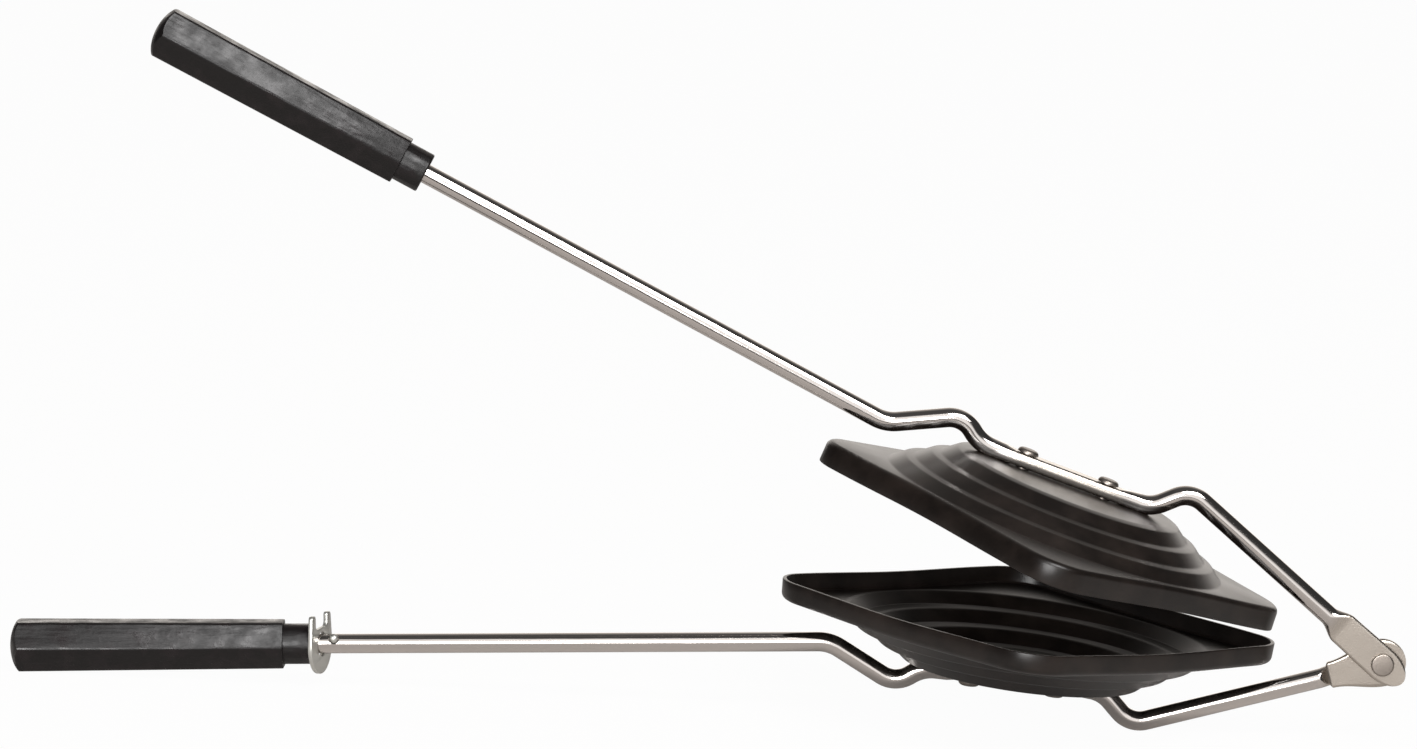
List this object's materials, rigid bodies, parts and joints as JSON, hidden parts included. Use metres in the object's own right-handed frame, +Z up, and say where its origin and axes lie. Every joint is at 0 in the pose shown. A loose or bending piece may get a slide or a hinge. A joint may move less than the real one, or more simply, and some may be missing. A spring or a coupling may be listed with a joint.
{
  "type": "stovetop sandwich toaster",
  "caption": "Hinged pair of square pressed non-stick trays on bent steel rods with six-sided grips and a swinging latch plate, for toasting a sandwich over a burner.",
  "frame": {"origin": "on the surface that the toaster stands on, under the middle of its box", "axes": "+X along the rods towards the hinge, +Y across the trays away from the viewer, +Z up"},
  "size_m": [0.4256, 0.151, 0.2049],
  "materials": {
    "rod": "polished bright steel rod, satin where it is forged flat",
    "tray": "warm black non-stick coating on pressed sheet, satin",
    "grip": "black moulded phenolic, satin, faintly mottled",
    "rivet": "satin steel rivet",
    "latch": "zinc plated stamping"
  },
  "bodies": {
    "lower_half": {"lower_rod": "rod", "lower_tray": "tray", "lower_grip": "grip", "lower_front_rivet": "rivet", "lower_rear_rivet": "rivet", "hinge_rivet": "rivet", "latch_stop": "latch"},
    "upper_half": {"upper_rod": "rod", "upper_tray": "tray", "upper_grip": "grip", "upper_front_rivet": "rivet", "upper_rear_rivet": "rivet"},
    "latch": {"latch_plate": "latch"}
  },
  "joints": [
    {"name": "main_hinge", "type": "hinge", "parent": "lower_half", "child": "upper_half", "pos_m": [0.20545, 0, 0.02483], "axis": [0, 1, 0], "range_deg": [-13.2, 155]},
    {"name": "latch_swing", "type": "hinge", "parent": "lower_half", "child": "latch", "pos_m": [-0.11809, 0, 0.01307], "axis": [0.9982, 0, 0.0593], "continuous": true}
  ]
}
